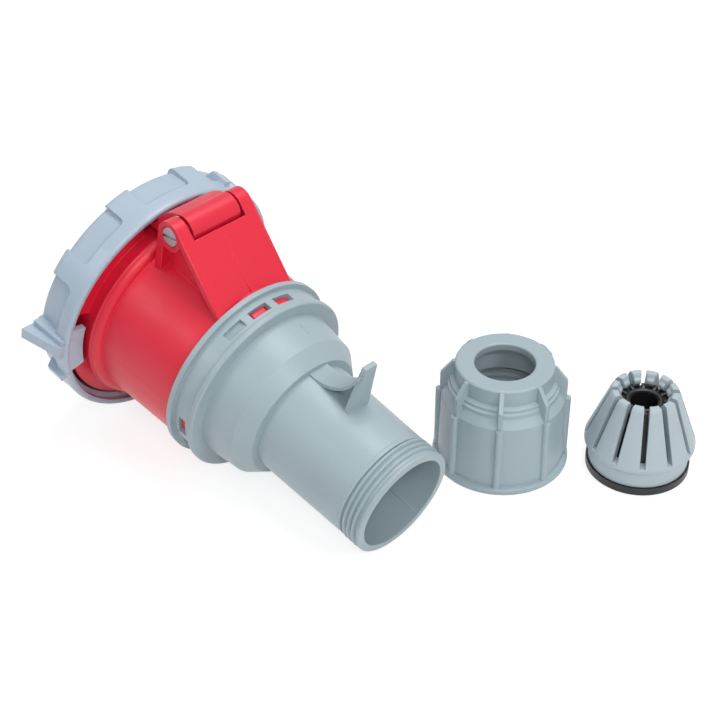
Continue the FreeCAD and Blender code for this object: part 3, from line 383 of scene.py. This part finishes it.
def addThread(name):
    look = threads[name]
    thread = addProfile(name, min(look["root"], look["crest"]), max(look["root"], look["crest"]),
                        look["start"] - look["foot"] / 2, look["start"] + look["foot"] / 2)
    pickVertices(thread, lambda spot: abs(spot.x - look["crest"]) < reach["pick"])
    bpy.ops.transform.resize(value=(1, 1, look["top"] / look["foot"]))
    bpy.ops.mesh.bevel(offset=look["top"] * threadForm["rounding"], segments=3, affect="VERTICES")
    dropFaces()
    bpy.ops.object.mode_set(mode="OBJECT")
    winding = thread.modifiers.new("winding", "SCREW")
    winding.axis = "Z"
    winding.angle = 2 * math.pi
    winding.screw_offset = look["pitch"]
    winding.iterations = look["turns"]
    winding.steps = winding.render_steps = threadForm["steps"]
    applyModifiers(thread)
    bpy.ops.object.mode_set(mode="EDIT")
    closeEnds()
    smoothBelow(threadForm["smooth"])
    return thread


underneath = Matrix.Rotation(-math.pi / 2, 4, "Z")   # both ends of the neck's thread face the floor
finishPiece(addThread("neck_thread"), housingAxes @ underneath, "greyPolyamide", "housing")
finishPiece(addThread("nut_thread"), nutAxes, "greyPolyamide", "housing")
print("threads made")


# The plain band behind the neck's thread, where the thread runs out.
threadRunOut = {"foot": 0.0258, "top": 0.0272, "from": 0.0116, "to": 0.0139, "edge": 0.0003,
                "steps": 160, "smooth": 40}
runOut = addProfile("thread_run_out", threadRunOut["foot"], threadRunOut["top"],
                    threadRunOut["from"], threadRunOut["to"])
pickVertices(runOut, lambda spot: spot.x > threadRunOut["top"] - reach["pick"])
bpy.ops.mesh.bevel(offset=threadRunOut["edge"], segments=2, affect="VERTICES")
dropFaces()
spinSelected(threadRunOut["steps"])
closeSpin()
smoothBelow(threadRunOut["smooth"])
finishPiece(runOut, housingAxes, "greyPolyamide", "housing")
print("band behind the neck's thread made")


# The teeth inside the tips of the cage's fingers. "turn" is from a slot to the middle of a finger.
fingerTeeth = {"count": 12, "turn": math.radians(15), "inner": 0.0107, "outer": 0.0132,
               "foot": 0.0372, "top": 0.0434, "slopeTop": 0.0027, "slopeFoot": 0.0018,
               "width": 0.0044, "innerShare": 0.72, "edge": 0.0003, "smooth": 35}
tooth = addBlock("finger_teeth", fingerTeeth)
innerFace = fingerTeeth["inner"] + reach["pick"]
upperFace = fingerTeeth["top"] - reach["pick"]
lowerFace = fingerTeeth["foot"] + reach["pick"]
pickVertices(tooth, lambda spot: spot.x < innerFace)
bpy.ops.transform.resize(value=(1, fingerTeeth["innerShare"], 1))
pickVertices(tooth, lambda spot: spot.x < innerFace and spot.z > upperFace)
bpy.ops.transform.translate(value=(0, 0, -fingerTeeth["slopeTop"]))
pickVertices(tooth, lambda spot: spot.x < innerFace and spot.z < lowerFace)
bpy.ops.transform.translate(value=(0, 0, fingerTeeth["slopeFoot"]))
bevelAll(fingerTeeth["edge"], 2)
smoothBelow(fingerTeeth["smooth"])
repeatAround(tooth, fingerTeeth["count"])
toothTurn = Matrix.Rotation(lie["cageTurn"] + fingerTeeth["turn"], 4, "Z")
finishPiece(tooth, cageAxes @ toothTurn, "cagePolyamide", "housing")
print("teeth of the cage's fingers made")


# The bead round the seal's hole, and the ribs between the bead and the fingers.
sealBead = {"radius": 0.0079, "height": 0.0372, "thick": 0.0011, "sides": 12, "steps": 72}
bead = addHoop("seal_bead", sealBead)
spinSelected(sealBead["steps"])
closeSpin()
bpy.ops.object.shade_smooth()
finishPiece(bead, cageAxes, "nitrileRubber", "housing")

sealRibs = {"count": 12, "inner": 0.0086, "outer": 0.0121, "foot": 0.0366, "top": 0.0386,
            "width": 0.0019, "drop": 0.0009, "edge": 0.0004, "smooth": 40}
rib = addBlock("seal_ribs", sealRibs)
pickVertices(rib, lambda spot: (spot.x < sealRibs["inner"] + reach["pick"]
                                and spot.z > sealRibs["top"] - reach["pick"]))
bpy.ops.transform.translate(value=(0, 0, -sealRibs["drop"]))
bevelAll(sealRibs["edge"], 3)
smoothBelow(sealRibs["smooth"])
repeatAround(rib, sealRibs["count"])
ribTurn = Matrix.Rotation(lie["cageTurn"], 4, "Z")
finishPiece(rib, cageAxes @ ribTurn, "nitrileRubber", "housing")
print("bead and ribs of the seal made")


# The seat in the nut that presses the cage's fingers together: a short cone on a longer one.
nutSeat = {"bottom": 0.0350, "bend": 0.0433, "top": 0.0496, "bottomRadius": 0.0209,
           "bendRadius": 0.0206, "topRadius": 0.0157, "wall": 0.0005, "steps": 96, "smooth": 30}
seat = addProfile("nut_seat", nutSeat["bottomRadius"], nutSeat["bottomRadius"] + nutSeat["wall"],
                  nutSeat["bottom"], nutSeat["bend"])
pickVertices(seat, lambda spot: spot.z > nutSeat["bend"] - reach["pick"])
bpy.ops.transform.translate(value=(nutSeat["bendRadius"] - nutSeat["bottomRadius"], 0, 0))
bpy.ops.mesh.extrude_region_move(TRANSFORM_OT_translate={
    "value": (nutSeat["topRadius"] - nutSeat["bendRadius"], 0, nutSeat["top"] - nutSeat["bend"])})
dropFaces()
spinSelected(nutSeat["steps"])
closeSpin()
smoothBelow(nutSeat["smooth"])
finishPiece(seat, nutAxes, "greyPolyamide", "housing")
print("nut's seat made")


# Fine raised lines: the plate's middle line and its two edges, a tick on the drum and a line in
# the neck's bore. Each is a low bead, half sunk in its wall. Its start and end are in the
# housing's axes.
fineLines = {
    "plate_line": {"start": (0, 0.04345, 0.1052), "end": (0, 0.06367, 0.1283),
                   "width": 0.0006, "proud": 0.00015, "finish": "redPolyamide",
                   "slot": "red_plastic"},
    "drum_tick": {"start": (-0.0095, 0.0368, 0.0774), "end": (-0.0096, 0.0375, 0.0830),
                  "width": 0.0008, "proud": 0.00025, "finish": "greyPolyamide",
                  "slot": "grey_plastic"},
    "plate_edge_near": {"start": (0.02135, 0.04345, 0.10573), "end": (0.02135, 0.06840, 0.13423),
                        "width": 0.0013, "proud": 0.00065, "finish": "redPolyamide",
                        "slot": "red_plastic"},
    "plate_edge_far": {"start": (-0.02135, 0.04345, 0.10573), "end": (-0.02135, 0.06840, 0.13423),
                       "width": 0.0013, "proud": 0.00065, "finish": "redPolyamide",
                       "slot": "red_plastic"},
    "bore_line": {"start": (-0.01470, -0.01834, 0.0020), "end": (-0.01470, -0.01834, 0.0240),
                  "width": 0.0009, "proud": 0.00020, "finish": "greyPolyamide",
                  "slot": "grey_plastic"},
}
lineForm = {"rounding": 0.8, "smooth": 50}   # rounding is a share of the height
for lineName, look in fineLines.items():
    start, end = Vector(look["start"]), Vector(look["end"])
    run = end - start
    outward = Vector((start.x, start.y, 0)).normalized()
    across = run.cross(outward).normalized()
    upward = run.cross(across).normalized()
    lineAxes = Matrix((across, upward, run.normalized())).transposed().to_4x4()
    deselectAll()
    bpy.ops.mesh.primitive_cube_add(size=1)
    line = namePiece(lineName, (look["width"], 2 * look["proud"], run.length))
    bpy.ops.object.mode_set(mode="EDIT")
    bevelAll(look["proud"] * lineForm["rounding"], 2)
    smoothBelow(lineForm["smooth"])
    place = housingAxes @ Matrix.Translation((start + end) / 2) @ lineAxes
    finishPiece(line, place, look["finish"], "housing")
print("fine lines made")


# The crown of the ring's rear lip. Its height is a station of the axis.
lipCrown = {"radius": 0.0607, "height": 0.15895, "thick": 0.0015, "sides": 20, "steps": 180}
crown = addHoop("lip_crown", lipCrown)
spinSelected(lipCrown["steps"])
closeSpin()
bpy.ops.object.shade_smooth()
finishPiece(crown, housingAxes, "ringPolyamide", "ring_body")
print("crown of the ring's lip made")


# The last turn of the lid's spring, beside the barrel. "place" is its middle in the housing's axes.
springTurn = {"radius": 0.0068, "thick": 0.00048, "height": 0, "sides": 10,
              "place": (0.0145, 0.0640, 0.1399), "arc": math.radians(250), "steps": 60,
              "smooth": 60}
wire = addHoop("spring_turn", springTurn, fill="NGON")
spinSelected(springTurn["steps"], springTurn["arc"])
closeEnds()
smoothBelow(springTurn["smooth"])
turnAxes = Matrix.Translation(springTurn["place"]) @ Matrix.Rotation(math.pi / 2, 4, "Y")
finishPiece(wire, housingAxes @ turnAxes, "springSteel", "housing")
print("spring's last turn made")


# A paper floor. The camera and the reflections see it with a glow, so only its shadows are grey.
floorLook = {"size": 8, "paper": "#F4F4F4", "shadow": "#9C9C9C", "glow": "#FFFFFF",
             "glowStrength": 0.80}
deselectAll()
bpy.ops.mesh.primitive_plane_add(size=floorLook["size"], location=(0, 0, 0))
floor = bpy.context.object
floor.name = "floor"
paleFloor = newMaterial("paleFloor")
lightPath = addNode(paleFloor, "ShaderNodeLightPath")
seen = addNode(paleFloor, "ShaderNodeMath", {"operation": "MAXIMUM"},
               {0: lightPath.outputs["Is Camera Ray"], 1: lightPath.outputs["Is Glossy Ray"]})
paper = addNode(paleFloor, "ShaderNodeBsdfDiffuse", {"Color": linear(floorLook["paper"])})
shadow = addNode(paleFloor, "ShaderNodeBsdfDiffuse", {"Color": linear(floorLook["shadow"])})
glow = addNode(paleFloor, "ShaderNodeEmission",
               {"Color": linear(floorLook["glow"]), "Strength": floorLook["glowStrength"]})
both = addNode(paleFloor, "ShaderNodeAddShader",
               links={0: shadow.outputs["BSDF"], 1: glow.outputs["Emission"]})
choice = addNode(paleFloor, "ShaderNodeMixShader", links={
    0: seen.outputs["Value"], 1: paper.outputs["BSDF"], 2: both.outputs["Shader"]})
addNode(paleFloor, "ShaderNodeOutputMaterial", links={"Surface": choice.outputs["Shader"]})
floor.data.materials.append(paleFloor)

softboxes = {
    "overhead": {"place": (0.05, 0.25, 1.30), "size": 0.6, "power": 8.0},
    "keyLeft": {"place": (-0.55, -0.95, 0.85), "size": 0.4, "power": 1.6},
    "besideCamera": {"place": (0.85, -0.72, 1.05), "size": 0.35, "power": 5.0},
    "fillRight": {"place": (1.20, 0.00, 0.90), "size": 0.35, "power": 4.8},
}
for name, box in softboxes.items():
    bpy.ops.object.light_add(type="AREA", location=box["place"])
    lamp = bpy.context.object
    lamp.name = name
    lamp.data.size = box["size"]
    lamp.data.energy = box["power"]
    lamp.rotation_euler = (-Vector(box["place"])).to_track_quat("-Z", "Y").to_euler()

# the white surroundings light the part less than they show behind it
surroundings = {"colour": "#FFFFFF", "lights": 0.28, "shows": 1.0}
world = bpy.data.worlds.new("studio")
bpy.context.scene.world = world
world.use_nodes = True
world.node_tree.nodes.clear()
ray = addNode(world, "ShaderNodeLightPath")
seenRay = addNode(world, "ShaderNodeMath", {"operation": "MAXIMUM"},
                  {0: ray.outputs["Is Camera Ray"], 1: ray.outputs["Is Glossy Ray"]})
strength = addNode(world, "ShaderNodeMapRange",
                   {"To Min": surroundings["lights"], "To Max": surroundings["shows"]},
                   {"Value": seenRay.outputs["Value"]})
sky = addNode(world, "ShaderNodeBackground", {"Color": linear(surroundings["colour"])},
              {"Strength": strength.outputs["Result"]})
addNode(world, "ShaderNodeOutputWorld", links={"Surface": sky.outputs["Background"]})

view = {"place": (0.4438, -0.45165, 0.5191), "target": (-0.0506, 0.04945, 0.0), "lens": 85.0,
        "sensor": 36.0, "nearest": 0.01}
bpy.ops.object.camera_add(location=view["place"])
camera = bpy.context.object
gaze = Vector(view["target"]) - Vector(view["place"])
camera.rotation_euler = gaze.to_track_quat("-Z", "Y").to_euler()
camera.data.lens = view["lens"]
camera.data.sensor_width = view["sensor"]
camera.data.clip_start = view["nearest"]
bpy.context.scene.camera = camera
bpy.context.scene.view_settings.view_transform = "Standard"
print("floor, light and camera set")
